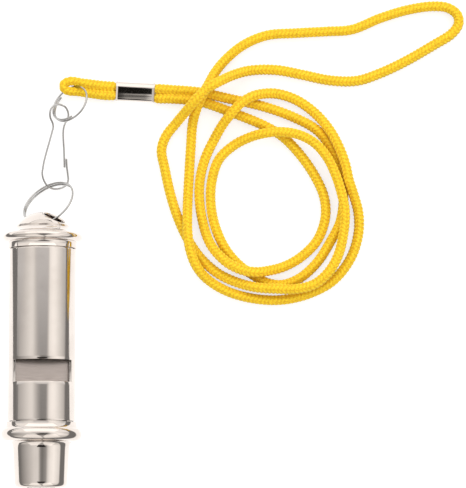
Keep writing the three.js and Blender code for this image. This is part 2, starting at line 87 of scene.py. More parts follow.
# The crimp presses the cord, which swells again beside it and is pinched on the small ring.
crimp_press = 0.7
crimp_reach = 0.0008
crimp_side = 0.003
slack_swell = 0.03
slack_start = 0.006
slack_run = 0.02
pinch = 0.14
pinch_start = 0.006
pinch_run = 0.003
loop_leaves_until = 0.05
bight_from = 0.9
loop_route = [
    (0.0303, 0.0263, -0.0004), (0.0346, 0.0262), (0.0431, 0.0253), (0.0529, 0.0219), (0.0626, 0.0179),
    (0.0681, 0.0146), (0.0731, 0.0095), (0.0777, 0.0029), (0.0807, -0.0039), (0.0811, -0.01),
    (0.0787, -0.017), (0.0737, -0.0222), (0.0686, -0.0251, 0.0002), (0.064, -0.0265, 0.0016),
    (0.0604, -0.0271, 0.0031), (0.0564, -0.0266, 0.0033), (0.0523, -0.0248, 0.0033),
    (0.049, -0.022, 0.0027), (0.0462, -0.0181, 0.0013), (0.0443, -0.0127), (0.0431, -0.0058),
    (0.0431, 0.0007), (0.0446, 0.0074), (0.0474, 0.0135, 0.0001), (0.0501, 0.018, 0.0018),
    (0.0526, 0.021, 0.0033), (0.0554, 0.0241, 0.0034), (0.0586, 0.0262, 0.003), (0.062, 0.0274, 0.0014),
    (0.0663, 0.0277), (0.0723, 0.0258), (0.0778, 0.0219, 0.0003), (0.0823, 0.0164, 0.0019),
    (0.0853, 0.0106, 0.0029), (0.0871, 0.0055, 0.003), (0.0881, 0.0009, 0.0028), (0.0896, -0.0035, 0.0014),
    (0.091, -0.0084), (0.0911, -0.0146), (0.0888, -0.0223), (0.0834, -0.0293), (0.0761, -0.0333),
    (0.0677, -0.0352), (0.0589, -0.0347), (0.0508, -0.0323), (0.045, -0.0286, 0.0006),
    (0.042, -0.0249, 0.0025), (0.0403, -0.0204, 0.0033), (0.0395, -0.0152, 0.0033),
    (0.0394, -0.0102, 0.0021), (0.0395, -0.0049, 0.0001), (0.0399, 0.0032), (0.0404, 0.0117),
    (0.0409, 0.0184, 0.0002), (0.042, 0.0223, 0.0025), (0.0431, 0.0249, 0.0034), (0.0445, 0.0277, 0.0034),
    (0.046, 0.0307, 0.0025), (0.0479, 0.0344, 0.0007), (0.0511, 0.0384), (0.0565, 0.0428),
    (0.0635, 0.0457), (0.0723, 0.0464), (0.0815, 0.0469), (0.0894, 0.0475), (0.098, 0.051),
    (0.1065, 0.0536), (0.1142, 0.0547), (0.1187, 0.0542), (0.1215, 0.0521), (0.1219, 0.0493),
    (0.1199, 0.0463), (0.1141, 0.0426), (0.1055, 0.0376), (0.0979, 0.034), (0.0909, 0.0317),
    (0.0827, 0.0318), (0.0744, 0.0335), (0.0663, 0.035), (0.0583, 0.0348, 0.0001), (0.0535, 0.0332, 0.002),
    (0.0503, 0.0313, 0.0047), (0.0476, 0.0296, 0.0064), (0.0449, 0.0279, 0.0066), (0.0425, 0.0254, 0.0066),
    (0.0402, 0.0229, 0.0054), (0.0381, 0.0208, 0.0029), (0.0356, 0.0182, 0.0005), (0.0328, 0.0146),
    (0.0315, 0.0104), (0.0325, 0.0047), (0.0342, -0.003), (0.0364, -0.01), (0.0394, -0.0166),
    (0.0435, -0.0226), (0.0487, -0.0272), (0.055, -0.0302, 0.001), (0.0604, -0.0317, 0.0031),
    (0.0661, -0.0321, 0.0033), (0.072, -0.0322, 0.0033), (0.0775, -0.0308, 0.0033),
    (0.0818, -0.0272, 0.0033), (0.0848, -0.022, 0.0031), (0.0864, -0.0155, 0.0031),
    (0.0869, -0.0088, 0.0033), (0.0858, -0.0029, 0.0033), (0.084, 0.0027, 0.0033),
    (0.0816, 0.0077, 0.0032), (0.0778, 0.0121, 0.0032), (0.0728, 0.0147, 0.0033), (0.0671, 0.0155, 0.0033),
    (0.0622, 0.015, 0.0031), (0.058, 0.014, 0.0015), (0.0535, 0.0119), (0.0489, 0.0075), (0.0467, 0.0007),
    (0.0465, -0.0067), (0.048, -0.0136), (0.0511, -0.0201), (0.0553, -0.0249), (0.0604, -0.0284),
    (0.0637, -0.0301), (0.068, -0.0306), (0.0733, -0.0286), (0.0785, -0.0239), (0.0825, -0.0177),
    (0.0856, -0.0114), (0.0866, -0.0042), (0.0857, 0.0029), (0.0833, 0.0101), (0.079, 0.0162),
    (0.0713, 0.0206), (0.062, 0.0239), (0.0523, 0.0261), (0.0431, 0.0281), (0.0349, 0.0288),
    (0.0302, 0.0291, 0.0003),
]
bight_route = [
    (0.0235, 0.0294, 0.0017), (0.0175, 0.0298, 0.0017), (0.0143, 0.03, 0.0018), (0.0103, 0.0304, 0.0022),
    (0.0073, 0.0308, 0.0027), (0.0055, 0.0312, 0.003), (0.004, 0.0313, 0.0033), (0.0028, 0.031, 0.0034),
    (0.002, 0.0305, 0.0035), (0.0018, 0.0297, 0.0035), (0.002, 0.029, 0.0034), (0.0029, 0.0284, 0.0032),
    (0.004, 0.0282, 0.0029), (0.0055, 0.0282, 0.0025), (0.0076, 0.0281, 0.0021), (0.0103, 0.0278, 0.0018),
    (0.014, 0.0273, 0.0017), (0.0175, 0.0272, 0.0017), (0.0211, 0.027, 0.0017),
]
cord_start = (0.0241, 0.0268, 0.0017)

ferrule_low, ferrule_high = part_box("crimp_ferrule")
clip_hang = (Vector(ferrule_low) + Vector(ferrule_high)) / 2 - ferrule_place
clip_hang.z = 0


def run_along(points):
    """The distance along a line of points, at each of them."""
    return np.concatenate([[0], np.cumsum(np.linalg.norm(np.diff(points, axis=0), axis=1))])


def smooth_route(points, step, fineness=40):
    """Evenly spaced points on the centripetal curve through the given ones."""
    knots = [np.array(point, dtype=float) for point in points]
    knots = [2 * knots[0] - knots[1], *knots, 2 * knots[-1] - knots[-2]]
    fine = []
    share = np.linspace(0, 1, fineness, endpoint=False)[:, None]
    for before, start, end, after in zip(knots, knots[1:], knots[2:], knots[3:]):
        gaps = [math.sqrt(np.linalg.norm(b - a)) for a, b in ((before, start), (start, end), (end, after))]
        leave = (start - before) / gaps[0] - (end - before) / (gaps[0] + gaps[1]) + (end - start) / gaps[1]
        arrive = (end - start) / gaps[1] - (after - start) / (gaps[1] + gaps[2]) + (after - end) / gaps[2]
        leave, arrive = leave * gaps[1], arrive * gaps[1]
        fine.append(
            start + leave * share
            + (3 * (end - start) - 2 * leave - arrive) * share ** 2
            + (2 * (start - end) + leave + arrive) * share ** 3
        )
    fine = np.vstack([*fine, knots[-2][None]])
    run = run_along(fine)
    places = np.linspace(0, run[-1], max(2, int(round(run[-1] / step)) + 1))
    return np.column_stack([np.interp(places, run, fine[:, axis]) for axis in range(3)])


def path_object(name, points, thickness):
    """A bare polyline that carries its own thickness, ready to be swept."""
    mesh = bpy.data.meshes.new(name)
    mesh.from_pydata([tuple(point) for point in points], [(i, i + 1) for i in range(len(points) - 1)], [])
    attribute = mesh.attributes.new("thickness", "FLOAT", "POINT")
    attribute.data.foreach_set("value", np.asarray(thickness, dtype=np.float32))
    return linked(name, mesh)


def fill(tree, made, values):
    """Fills a node's inputs: another node's output is linked, anything else is set."""
    for name, value in values.items():
        if isinstance(value, bpy.types.NodeSocket):
            tree.links.new(value, made.inputs[name])
        else:
            made.inputs[name].default_value = value


def new_node(tree, kind, values=None, **settings):
    """Adds a node to a tree, with its settings and inputs."""
    made = tree.nodes.new(kind)
    for key, value in settings.items():
        setattr(made, key, value)
    fill(tree, made, values or {})
    return made


def math_node(tree, operation, *values):
    return new_node(tree, "ShaderNodeMath", dict(enumerate(values)), operation=operation).outputs[0]


def scaled(tree, vector, share):
    """A vector or a colour, multiplied by a value."""
    made = new_node(tree, "ShaderNodeVectorMath", {0: vector, "Scale": share}, operation="SCALE")
    return made.outputs["Vector"]


def sockets(tree, way, kinds):
    """Gives a tree its named inputs or outputs."""
    for name, kind in kinds.items():
        tree.interface.new_socket(name, in_out=way, socket_type="NodeSocket" + kind)


def keep_shape(piece, modifier):
    """Keeps what a modifier makes as the piece's own mesh."""
    shaped = bpy.data.meshes.new_from_object(piece.evaluated_get(bpy.context.evaluated_depsgraph_get()))
    piece.modifiers.remove(modifier)
    shaped.name = piece.name
    piece.data = shaped
    return piece


def swept(piece, tree, values):
    """Runs a Geometry Nodes tree on a path and keeps its result."""
    modifier = piece.modifiers.new("shape", "NODES")
    modifier.node_group = tree
    for item in tree.interface.items_tree:
        if item.item_type == "SOCKET" and item.in_out == "INPUT" and item.name in values:
            modifier[item.identifier] = values[item.name]
    return keep_shape(piece, modifier)


def sweep_tree(name, settings):
    """Starts a tree that sweeps a path: gives it with its inputs, the path's curve and a round section."""
    tree = bpy.data.node_groups.new(name, "GeometryNodeTree")
    sockets(tree, "INPUT", {
        "Geometry": "Geometry", "Points around": "Int", **settings, "Material": "Material"})
    sockets(tree, "OUTPUT", {"Geometry": "Geometry"})
    given = new_node(tree, "NodeGroupInput").outputs
    curve = new_node(tree, "GeometryNodeMeshToCurve", {"Mesh": given["Geometry"]}).outputs["Curve"]
    section = new_node(tree, "GeometryNodeCurvePrimitiveCircle", {
        "Radius": 1, "Resolution": given["Points around"]})
    return tree, given, curve, section.outputs["Curve"]


def sweep_along(tree, curve, section):
    """Sweeps a section along a curve, as thick as the path says, with closed ends."""
    thickness = new_node(tree, "GeometryNodeInputNamedAttribute", {"Name": "thickness"}, data_type="FLOAT")
    return new_node(tree, "GeometryNodeCurveToMesh", {
        "Curve": curve, "Profile Curve": section,
        "Scale": thickness.outputs["Attribute"], "Fill Caps": True}).outputs["Mesh"]


def finish_tree(tree, given, shape):
    """Ends a tree: shades the shape smooth, makes it real and gives it its material."""
    shape = new_node(tree, "GeometryNodeSetShadeSmooth", {"Geometry": shape}).outputs["Geometry"]
    shape = new_node(tree, "GeometryNodeRealizeInstances", {"Geometry": shape}).outputs["Geometry"]
    shape = new_node(tree, "GeometryNodeSetMaterial", {"Geometry": shape, "Material": given["Material"]})
    new_node(tree, "NodeGroupOutput", {"Geometry": shape.outputs["Geometry"]})
    return tree


def noted(tree, curve, name, value):
    """Notes a value on a curve's points before the sweep: gives the curve and the noted value."""
    made = tree.nodes.new("GeometryNodeCaptureAttribute")
    made.capture_items.new("FLOAT", name)
    fill(tree, made, {"Geometry": curve, name: value})
    return made.outputs["Geometry"], made.outputs[name]


def braid_tree():
    """Sweeps a round section along a path and raises slanted stitches in columns on it."""
    tree, given, curve, section = sweep_tree("braided_cord", {
        "Columns": "Int", "Stitch length": "Float", "Relief": "Float", "Slant": "Float"})
    run = new_node(tree, "GeometryNodeSplineParameter").outputs["Length"]
    curve, along = noted(tree, curve, "Along", run)
    index = new_node(tree, "GeometryNodeInputIndex").outputs[0]
    turn = math_node(tree, "DIVIDE", index, given["Points around"])
    section, around = noted(tree, section, "Around", turn)
    core = sweep_along(tree, curve, section)

    column = math_node(tree, "MULTIPLY", around, given["Columns"])
    parity = math_node(tree, "MODULO", math_node(tree, "FLOOR", column), 2)
    side = math_node(tree, "SUBTRACT", 1, math_node(tree, "MULTIPLY", parity, 2))
    across = math_node(tree, "SUBTRACT", math_node(tree, "FRACT", column), 0.5)
    lean = math_node(tree, "MULTIPLY", math_node(tree, "MULTIPLY", side, across), given["Slant"])
    phase = math_node(tree, "ADD", math_node(tree, "DIVIDE", along, given["Stitch length"]), lean)
    wave = math_node(tree, "COSINE", math_node(tree, "MULTIPLY", phase, 2 * math.pi))
    stitch = math_node(tree, "ADD", 0.5, math_node(tree, "MULTIPLY", wave, 0.5))
    crown = math_node(tree, "COSINE", math_node(tree, "MULTIPLY", across, math.pi))
    crown = math_node(tree, "ADD", math_node(tree, "MULTIPLY", crown, 1 - seam_level), seam_level)
    height = math_node(tree, "SQRT", math_node(tree, "MULTIPLY", stitch, crown))

    outward = new_node(tree, "GeometryNodeInputNormal").outputs["Normal"]
    rise = scaled(tree, outward, math_node(tree, "MULTIPLY", height, given["Relief"]))
    raised = new_node(tree, "GeometryNodeSetPosition", {"Geometry": core, "Offset": rise})
    braid = new_node(tree, "GeometryNodeStoreNamedAttribute", {
        "Geometry": raised.outputs["Geometry"], "Name": "stitch_height", "Value": height}, data_type="FLOAT")
    return finish_tree(tree, given, braid.outputs["Geometry"])


def new_material(name):
    material = bpy.data.materials.new(name)
    material.use_nodes = True
    return material, material.node_tree, material.node_tree.nodes["Principled BSDF"]


def noise(tree, vector, scale, detail=2):
    made = new_node(tree, "ShaderNodeTexNoise", {"Vector": vector, "Scale": scale, "Detail": detail})
    return made.outputs["Fac"]


def bumped(tree, height, strength, distance):
    """A height, as the slope that it gives the surface."""
    return new_node(tree, "ShaderNodeBump", {
        "Height": height, "Strength": strength, "Distance": distance}).outputs["Normal"]


def colour_ramp(tree, value, stops):
    """Colours blended from stop to stop, each given as (place, colour)."""
    made = new_node(tree, "ShaderNodeValToRGB", {"Fac": value})
    ramp = made.color_ramp.elements
    for place, _ in stops[1:-1]:
        ramp.new(place)
    for stop, (place, colour) in zip(ramp, stops):
        stop.position = place
        stop.color = colour
    return made.outputs["Color"]


def braided_polyester():
    """Dyed orange yarn with fine strands and fuzz: deeper orange between the stitches as painted shade,
    paler on their crests as painted highlight.
    """
    material, tree, shader = new_material("braided_polyester")
    place = new_node(tree, "ShaderNodeTexCoord").outputs["Object"]
    height = new_node(tree, "ShaderNodeAttribute", attribute_name="stitch_height").outputs["Fac"]
    strands = noise(tree, place, scale=2000)
    drift = noise(tree, place, scale=260)
    depth = math_node(
        tree, "ADD", math_node(tree, "MULTIPLY", height, 1.15), math_node(tree, "MULTIPLY", strands, 0.7))
    # Painted shade and highlight: the stitch height darkens the grooves between the stitches and lightens
    # their crests.
    dye_groove_shade = colour_ramp(tree, math_node(tree, "SUBTRACT", depth, 0.47), [
        (0.1, (0.8, 0.42, 0.001, 1)), (0.5, (0.93, 0.62, 0.006, 1)), (0.97, (0.96, 0.69, 0.024, 1)),
    ])
    tone = math_node(
        tree, "ADD", math_node(tree, "MULTIPLY", strands, 0.45), math_node(tree, "MULTIPLY", drift, 0.16))
    fill(tree, shader, {
        "Base Color": scaled(tree, dye_groove_shade, math_node(tree, "ADD", tone, 0.705)),
        "Normal": bumped(tree, strands, strength=0.5, distance=0.00006),
        "Roughness": 0.78,
        "Sheen Weight": 0.45,
        "Sheen Tint": (1, 0.8, 0.3, 1),
    })
    return material


def fading(distance, start, run):
    """One up to the start, then falling to nothing over the run."""
    return 1 - np.clip((distance - start) / run, 0, 1)


laid = [(x, y, braid_radius + cord_lift + (lift[0] if lift else 0)) for x, y, *lift in loop_route]
cord_path = smooth_route([cord_start, *laid, *bight_route], stitch_length / points_per_stitch)
past_ferrule = np.abs(cord_path[:, 0] - ferrule_place.x) - ferrule_half_length
beside_ferrule = np.abs(cord_path[:, 1] - ferrule_place.y) < crimp_side
share_run = np.linspace(0, 1, len(cord_path))
in_bight = share_run > bight_from
near_crimp = (share_run < loop_leaves_until) | in_bight
pressed = np.where(beside_ferrule, fading(past_ferrule, -crimp_reach, 2 * crimp_reach), 0)
swollen = np.where(near_crimp, fading(past_ferrule, slack_start, slack_run), 0)
pinched = np.where(in_bight, fading(cord_path[:, 0], pinch_start, pinch_run), 0)
plump = 1 + slack_swell * swollen - pinch * pinched
squeeze = plump + (crimp_press - plump) * pressed
cord_path[:, 2] = np.maximum(cord_path[:, 2], braid_radius * squeeze + cord_lift)
cord_path += np.array(clip_hang)
cord = path_object("neck_cord", cord_path, squeeze * (braid_radius - braid_relief))
swept(cord, braid_tree(), {
    "Points around": braid_columns * points_per_column,
    "Columns": braid_columns,
    "Stitch length": stitch_length,
    "Relief": braid_relief,
    "Slant": braid_slant,
    "Material": braided_polyester(),
})
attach(cord, "lanyard")
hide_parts("lanyard_bight", "lanyard_loop")

# Barrel. A drawn brass tube, nickel plated and polished, with a square sound window
# filed through front and back. The mouthpiece and the cap are pressed into its ends.
spin_segments = 160
barrel_radius = 0.01
barrel_wall = 0.0006
end_strip = 0.0004
edge_break = 0.00009
bore_skin = 0.00005
window_start = 0.031
window_length = 0.0065
window_depth = 0.0049
window_margin = 0.001
window_roll = math.radians(6.5)
mouth_low, mouth_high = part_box("mouthpiece")
barrel_low, barrel_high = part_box("barrel_tube")
axis_x = (mouth_low[0] + mouth_high[0]) / 2
axis_z = (mouth_low[2] + mouth_high[2]) / 2
whistle_start = mouth_low[1]
whistle_place = Matrix.Translation((axis_x, whistle_start, axis_z))
whistle_axis = whistle_place @ Matrix.Rotation(-math.pi / 2, 4, "X")
nickel_tint = (0.64, 0.585, 0.545, 1)
nickel_shade = (0.585, 0.53, 0.49, 1)


def solid(name, shape):
    """Turns a bmesh into a piece whose faces look outwards."""
    bmesh.ops.recalc_face_normals(shape, faces=shape.faces)
    mesh = bpy.data.meshes.new(name)
    shape.to_mesh(mesh)
    shape.free()
    return linked(name, mesh)


def skinned(name, rings, closed=True):
    """Fills the faces between neighbouring rings of points. A ring of one point is a tip."""
    shape = bmesh.new()
    rings = [[shape.verts.new(point) for point in ring] for ring in rings]
    for low, high in zip(rings, rings[1:] + (rings[:1] if closed else [])):
        count = max(len(low), len(high))
        for i in range(count):
            j = (i + 1) % count
            corners = [low[i % len(low)], low[j % len(low)], high[j % len(high)], high[i % len(high)]]
            shape.faces.new(list(dict.fromkeys(corners)))
    return solid(name, shape)


def spun(name, outline, axis, segments=spin_segments, closed=True):
    """Turns an outline of (radius, place) about the axis, which is the Z of the given frame."""
    turns = [2 * math.pi * i / segments for i in range(segments)]
    rings = []
    for radius, place in outline:
        around = turns if radius > 1e-7 else turns[:1]
        rings.append([axis @ Vector((radius * math.cos(t), radius * math.sin(t), place)) for t in around])
    return skinned(name, rings, closed)


def with_modifier(piece, kind, **settings):
    modifier = piece.modifiers.new("work", kind)
    for key, value in settings.items():
        setattr(modifier, key, value)
    return keep_shape(piece, modifier)


def cut_away(piece, cutter):
    with_modifier(piece, "BOOLEAN", operation="DIFFERENCE", object=cutter, solver="EXACT")
    bpy.data.objects.remove(cutter)


def shaded(piece, sharp_from):
    """Shades a piece smooth, except at edges that turn by more degrees than given."""
    piece.data.shade_smooth()
    piece.data.set_sharp_from_angle(angle=math.radians(sharp_from))


def box_piece(name, low, high):
    shape = bmesh.new()
    bmesh.ops.create_cube(shape, size=1)
    low, high = Vector(low), Vector(high)
    shape.transform(Matrix.Translation((low + high) / 2) @ Matrix.Diagonal((*(high - low), 1)))
    return solid(name, shape)


def dress(mesh, *materials):
    mesh.materials.clear()
    for material in materials:
        mesh.materials.append(material)


def map_range(tree, value, start, end, low=0, high=1, blend="LINEAR"):
    """Carries a value from one range to another and stops at both ends."""
    return new_node(tree, "ShaderNodeMapRange", {
        "Value": value, "From Min": start, "From Max": end, "To Min": low, "To Max": high,
    }, interpolation_type=blend).outputs["Result"]


def mixed(tree, share, first, second):
    """A blend of two colours."""
    return new_node(tree, "ShaderNodeMix", {
        "Factor": share, "A": first, "B": second}, data_type="RGBA").outputs["Result"]


def handling_marks():
    """Faint smears and hairlines of a part that has been held: roughness and a little height."""
    group = bpy.data.node_groups.new("handling_marks", "ShaderNodeTree")
    sockets(group, "INPUT", {"Polish": "Float", "Smear": "Float", "Scale": "Float"})
    sockets(group, "OUTPUT", {"Roughness": "Float", "Height": "Float", "Mask": "Float"})
    given = new_node(group, "NodeGroupInput").outputs
    place = new_node(group, "ShaderNodeTexCoord").outputs["Object"]
    mask = map_range(group, noise(group, place, given["Scale"], detail=4), 0.42, 0.75)
    rough = math_node(group, "ADD", given["Polish"], math_node(group, "MULTIPLY", mask, given["Smear"]))
    hairlines = noise(group, place, scale=9000, detail=1)
    new_node(group, "NodeGroupOutput", {"Roughness": rough, "Height": hairlines, "Mask": mask})
    return group


def turning_lines():
    """Fine rings left round the axis by the polishing lathe, as height."""
    group = bpy.data.node_groups.new("turning_lines", "ShaderNodeTree")
    sockets(group, "INPUT", {"Lines per metre": "Float"})
    sockets(group, "OUTPUT", {"Height": "Float"})
    given = new_node(group, "NodeGroupInput").outputs
    place = new_node(group, "ShaderNodeTexCoord").outputs["Object"]
    along = new_node(group, "ShaderNodeSeparateXYZ", {0: place}).outputs["Y"]
    line = math_node(group, "MULTIPLY", along, given["Lines per metre"])
    lines = new_node(group, "ShaderNodeTexNoise", {
        "W": line, "Scale": 1, "Detail": 2}, noise_dimensions="1D")
    new_node(group, "NodeGroupOutput", {"Height": lines.outputs["Fac"]})
    return group


marks_group = handling_marks()
lines_group = turning_lines()


def handled(tree, polish, smear, scale=120):
    return new_node(tree, "ShaderNodeGroup", {
        "Polish": polish, "Smear": smear, "Scale": scale}, node_tree=marks_group).outputs


def bright_nickel(name, polish, smear, line_depth):
    material, tree, shader = new_material(name)
    marks = handled(tree, polish, smear)
    lines = new_node(tree, "ShaderNodeGroup", {"Lines per metre": 4000}, node_tree=lines_group).outputs
    fill(tree, shader, {
        "Base Color": mixed(tree, marks["Mask"], nickel_tint, nickel_shade),
        "Roughness": marks["Roughness"],
        "Normal": bumped(tree, lines["Height"], strength=1, distance=line_depth),
        "Metallic": 1,
    })
    return material


def painted_shade_bore():
    """Painted shade: the inside of the tube is coloured near-black brown and dull, where shade falls in the
    bore.
    """
    material, tree, shader = new_material("painted_shade_bore")
    fill(tree, shader, {
        "Base Color": (0.09, 0.08, 0.07, 1),
        "Roughness": handled(tree, polish=0.5, smear=0.2)["Roughness"],
        "Metallic": 0.6,
    })
    return material


barrel_start = barrel_low[1] - whistle_start
barrel_end = barrel_high[1] - whistle_start
barrel_bore = barrel_radius - barrel_wall
window_end = window_start + window_length
barrel_places = [
    barrel_start, barrel_start + end_strip, window_start - window_margin,
    window_end + window_margin, barrel_end - end_strip, barrel_end,
]
barrel = spun("barrel", [
    *[(barrel_radius, place) for place in barrel_places],
    *[(barrel_bore, place) for place in reversed(barrel_places)],
], whistle_axis)
window_floor = barrel_radius - window_depth
past_barrel = 2 * barrel_radius
for side in (1, -1):
    low, high = sorted((side * window_floor, side * past_barrel))
    window = box_piece("window", (-past_barrel, window_start, low), (past_barrel, window_end, high))
    window.data.transform(whistle_place @ Matrix.Rotation(window_roll, 4, "Y"))
    cut_away(barrel, window)
with_modifier(
    barrel, "BEVEL", width=edge_break, segments=2, limit_method="ANGLE", angle_limit=math.radians(50))
shaded(barrel, 32)
dress(barrel.data, bright_nickel("drawn_nickel", polish=0.09, smear=0.06, line_depth=0.0000004), painted_shade_bore())
# The faces inside the bore take its near-black painted shade.
for face in barrel.data.polygons:
    if math.hypot(face.center.x - axis_x, face.center.z - axis_z) < barrel_bore + bore_skin:
        face.material_index = 1
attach(barrel, "whistle")
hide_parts("barrel_tube")

# Mouthpiece. Spun from one piece of tube: a rounded tip to hold between the teeth,
# a hollow bead that rests against the lips, and a spigot that enters the barrel.
mouthpiece_length = 0.0193
seat_gap = 0.0003
spigot_length = 0.0045
spigot_wall = 0.0008
tip_radius = 0.0079
tip_round = 0.002
tip_flat = 0.0003
tip_flare = 0.00045
tip_length = 0.0112
mouth_wall = 0.001
mouth_bore = 0.006
lip_rise = 0.0002
lip_break = (0.0001, 0.00003)
bead_radius = 0.012
bead_depth = 0.0021
bead_turn_off = math.radians(60)
mouth_bead_place = 0.0157
mouth_bead_half = 0.0021
collar_flare = 0.0004
collar_sweep = 0.0012
collar_break = 0.00006
collar_face = 0.00004


def bend(start, control, end, steps):
    """Points of a curve that leaves start towards control and reaches end from it."""
    made = []
    for i in range(1, steps + 1):
        t = i / steps
        weights = ((1 - t) ** 2, 2 * t * (1 - t), t * t)
        made.append(tuple(np.dot(weights, (start, control, end))))
    return made


def arc(centre, radii, start, end, steps=24):
    angles = [start + (end - start) * i / steps for i in range(steps + 1)]
    return [(centre[0] + radii[0] * math.cos(a), centre[1] + radii[1] * math.sin(a)) for a in angles]


spigot_radius = barrel_bore - seat_gap
spigot_bore = spigot_radius - spigot_wall
collar_radius = barrel_radius + collar_flare
bead_root = bead_radius - bead_depth
neck_radius = tip_radius + tip_flare
bead_bottom = mouth_bead_place - mouth_bead_half
mouth_bead = arc((bead_root, mouth_bead_place), (bead_depth, mouth_bead_half), -math.pi / 2, bead_turn_off)
collar_end = (collar_radius, mouthpiece_length)
inner_neck = (neck_radius - mouth_wall, tip_length)
inner_tip = (tip_radius - mouth_wall, tip_round)
mouthpiece = spun("mouth_end", [
    (mouth_bore, lip_rise),
    (mouth_bore + lip_break[0], lip_break[1]),
    (mouth_bore + tip_flat, 0),
    *bend((mouth_bore + tip_flat, 0), (tip_radius, 0), (tip_radius, tip_round), 16),
    (neck_radius, tip_length),
    *bend((neck_radius, tip_length), (neck_radius, bead_bottom), (bead_root, bead_bottom), 14),
    *mouth_bead[1:],
    *bend(mouth_bead[-1], (collar_radius, mouthpiece_length - collar_sweep), collar_end, 10),
    (collar_radius - collar_break, mouthpiece_length + collar_face),
    (spigot_radius, mouthpiece_length + collar_face),
    (spigot_radius, mouthpiece_length + spigot_length),
    (spigot_bore, mouthpiece_length + spigot_length),
    (spigot_bore, mouth_bead_place),
    *bend((spigot_bore, mouth_bead_place), (neck_radius - mouth_wall, bead_bottom), inner_neck, 10),
    inner_tip,
    *bend(inner_tip, (tip_radius - mouth_wall, tip_round / 3), (mouth_bore, lip_rise), 8)[:-1],
], whistle_axis)
shaded(mouthpiece, 40)
dress(mouthpiece.data, bright_nickel("spun_nickel", polish=0.06, smear=0.05, line_depth=0.0000012))
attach(mouthpiece, "whistle")
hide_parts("mouthpiece")

# End cap. Skirt, bead and hollow dome are one spun shell. Two holes are drilled towards
# the dome's middle, so that a bridge stays between them for the split ring to swing on.
whole_length = 0.082
cap_height = 0.0111
cap_bead_place = 0.0033
cap_bead_half = 0.0015
cap_bead_turn_on = math.radians(-69)
dome_inset = 0.0007
dome_wall = 0.0008
dome_base_place = 0.0061
dome_waist = 0.009
dome_sweep = 0.0009
hole_radius = 0.0033
hole_lean = math.radians(30)
cap_roll = math.radians(33)
hole_round = 0.0004
drill_reach = (0.004, 0.014)
drill_segments = 64
lip_overrun = 0.2
lip_run_out = 0.002
groove_depth = 0.00009
groove_steps = (2, 4, 6)

cap_start = whole_length - cap_height
dome_radius = barrel_radius - dome_inset
dome_centre = whole_length - dome_radius
dome_foot = cap_start + dome_base_place
outer_start = math.asin((dome_foot - dome_centre) / dome_radius)
inner_dome = dome_radius - dome_wall
inner_end = math.acos(spigot_bore / inner_dome)
cap_bead_middle = cap_start + cap_bead_place
cap_bead = arc(
    (bead_root, cap_bead_middle), (bead_depth, cap_bead_half), cap_bead_turn_on, bead_turn_off)
dome = arc((0, dome_centre), (dome_radius, dome_radius), outer_start, math.pi / 2, 72)
inner = arc((0, dome_centre), (inner_dome, inner_dome), math.pi / 2, inner_end, 40)
grooved = [(radius - groove_depth * (i in groove_steps), place) for i, (radius, place) in enumerate(dome)]
grooved[-1] = (0, whole_length)
cap = spun("dome_cap", [
    (0, inner[0][1]),
    *inner[1:],
    (spigot_bore, cap_start - spigot_length),
    (spigot_radius, cap_start - spigot_length),
    (spigot_radius, cap_start - collar_face),
    (collar_radius - collar_break, cap_start - collar_face),
    (collar_radius, cap_start),
    *bend((collar_radius, cap_start), (bead_root, cap_bead[0][1]), cap_bead[0], 12),
    *cap_bead[1:],
    *bend(cap_bead[-1], (dome_waist, dome_foot - dome_sweep), grooved[0], 10),
    *grooved[1:],
], whistle_axis, closed=False)
hole_line = Vector((math.cos(cap_roll), 0, math.sin(cap_roll)))
lip_radius = hole_radius + hole_round
lip_place = math.sqrt((dome_radius - hole_round) ** 2 - lip_radius ** 2)
lip_end = math.acos(lip_radius / (dome_radius - hole_round)) + lip_overrun
rounding = arc((lip_radius, lip_place), (hole_round, hole_round), math.pi, lip_end, 9)
past_lip = (
    rounding[-1][0] + lip_run_out * math.sin(lip_end), rounding[-1][1] - lip_run_out * math.cos(lip_end))
drill_outline = [
    (0, drill_reach[0]), (hole_radius, drill_reach[0]), *rounding,
    past_lip, (past_lip[0], drill_reach[1]), (0, drill_reach[1]),
]
dome_middle = Matrix.Translation((axis_x, whistle_start + dome_centre, axis_z))
for side in (1, -1):
    aim = Vector((0, math.cos(hole_lean), 0)) + side * math.sin(hole_lean) * hole_line
    turn = Vector((0, 0, 1)).rotation_difference(aim).to_matrix().to_4x4()
    cut_away(cap, spun("drill", drill_outline, dome_middle @ turn, drill_segments, closed=False))
shaded(cap, 40)
dress(cap.data, bright_nickel("domed_nickel", polish=0.06, smear=0.05, line_depth=0.0000014))
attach(cap, "whistle")
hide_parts("end_cap")

# Septum, fipple plugs and end disc. Flat stampings and half-round blocks inside the barrel,
# left dull from the brush. The septum shows through the window and keeps its cross-wise grain.


def brushed_plate():
    material, tree, shader = new_material("brushed_plate")
    place = new_node(tree, "ShaderNodeTexCoord").outputs["Object"]
    stretched = new_node(tree, "ShaderNodeMapping", {"Vector": place, "Scale": (60, 2600, 2600)})
    grain = noise(tree, stretched.outputs["Vector"], scale=1, detail=3)
    fill(tree, shader, {
        "Base Color": mixed(tree, grain, (0.75, 0.645, 0.585, 1), (0.92, 0.8, 0.735, 1)),
        "Roughness": map_range(tree, grain, 0, 1, low=0.16, high=0.26),
        "Normal": bumped(tree, grain, strength=0.6, distance=0.000002),
        "Metallic": 1,
    })
    return material


plate_finish = brushed_plate()
for name in ("septum_plate", "front_fipple_plug", "rear_fipple_plug", "chamber_end_disc"):
    dress(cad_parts[name].data, plate_finish)

# Cap ring. Bright spring wire wound one and two thirds turns flat, so that a loop can be worked
# on between its turns. It hangs through the two holes of the cap and leans on the surface.
wire_radius = 0.00031
wire_pitch = 0.00082
wire_sides = 18
tumbled_flat = 0.12
points_per_turn = 150
ring_radius = 0.00825
ring_turns = 1.65
ring_start = math.radians(55)
ring_reach = 0.00645
ring_drop = 0.001
ring_shift = -0.0016
ring_depth = 0.00185
ring_height = 0.00695


